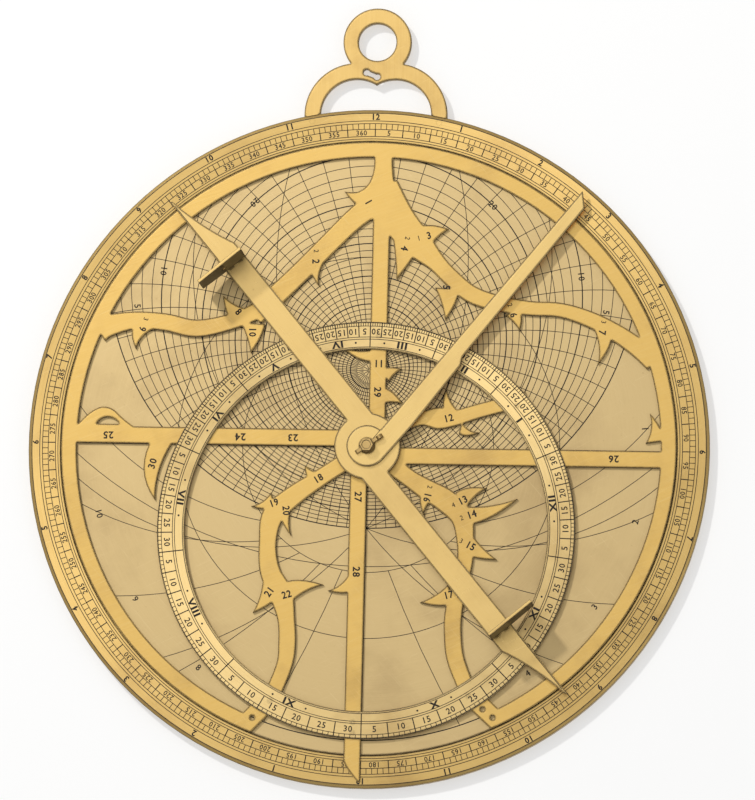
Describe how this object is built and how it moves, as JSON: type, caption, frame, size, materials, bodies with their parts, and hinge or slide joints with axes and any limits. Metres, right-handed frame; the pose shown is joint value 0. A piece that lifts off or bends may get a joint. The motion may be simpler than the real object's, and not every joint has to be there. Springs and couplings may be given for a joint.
{
  "type": "planispheric astrolabe",
  "caption": "Round brass planispheric astrolabe with throne and ring eye, raised limb, pierced rete, sighting alidade with two vanes and a single rule.",
  "frame": {"origin": "on the pin's axis at the back face, which the instrument lies on", "axes": "+Z out of the face, +Y towards the throne and its ring eye, +X to the right seen from the front"},
  "size_m": [0.272, 0.3133, 0.0294],
  "materials": {
    "back_brass": "rolled brass, satin, fine turning marks, slightly browned",
    "limb_brass": "filed and polished brass with blackened engraving",
    "throne_brass": "filed brass, soft satin, browned in the corners",
    "plate_brass": "thin planished brass, satin, blackened engraving",
    "rete_brass": "sawn and filed sheet brass, bright on the arrises",
    "zodiac_brass": "polished brass with blackened engraving",
    "alidade_brass": "drawfiled brass, lengthwise grain",
    "vane_brass": "filed brass, satin",
    "rule_brass": "drawfiled brass, lengthwise grain",
    "fitting_brass": "turned and filed brass, darker with handling",
    "rivet_brass": "brass wire, riveted and filed flush"
  },
  "bodies": {
    "mater": {"back_plate": "back_brass", "limb_ring": "limb_brass", "limb_rivets": "rivet_brass", "throne": "throne_brass", "throne_pins": "rivet_brass", "plate_lower": "plate_brass", "plate_middle": "plate_brass", "plate_upper": "plate_brass", "pin_bolt": "fitting_brass", "hub_washer": "fitting_brass"},
    "rete": {"rete_sheet": "rete_brass", "zodiac_ring": "zodiac_brass", "zodiac_rivets": "rivet_brass", "rim_pointer": "rete_brass", "pointer_rivets": "rivet_brass"},
    "alidade": {"alidade_rule": "alidade_brass", "vane_left": "vane_brass", "vane_right": "vane_brass"},
    "rule": {"single_rule": "rule_brass"},
    "wedge": {"wedge": "fitting_brass"}
  },
  "joints": [
    {"name": "rete_turn", "type": "hinge", "parent": "mater", "child": "rete", "pos_m": [0, 0, 0.0059], "axis": [0, 0, 1], "continuous": true},
    {"name": "alidade_turn", "type": "hinge", "parent": "mater", "child": "alidade", "pos_m": [0, 0, 0.0085], "axis": [0, 0, 1], "continuous": true},
    {"name": "rule_turn", "type": "hinge", "parent": "alidade", "child": "rule", "pos_m": [0, 0, 0.0102], "axis": [0, 0, 1], "range_deg": [-91, 72]},
    {"name": "wedge_slide", "type": "slide", "parent": "mater", "child": "wedge", "axis": [0.829, 0.5592, 0], "range_m": [0, 0.0085]}
  ]
}
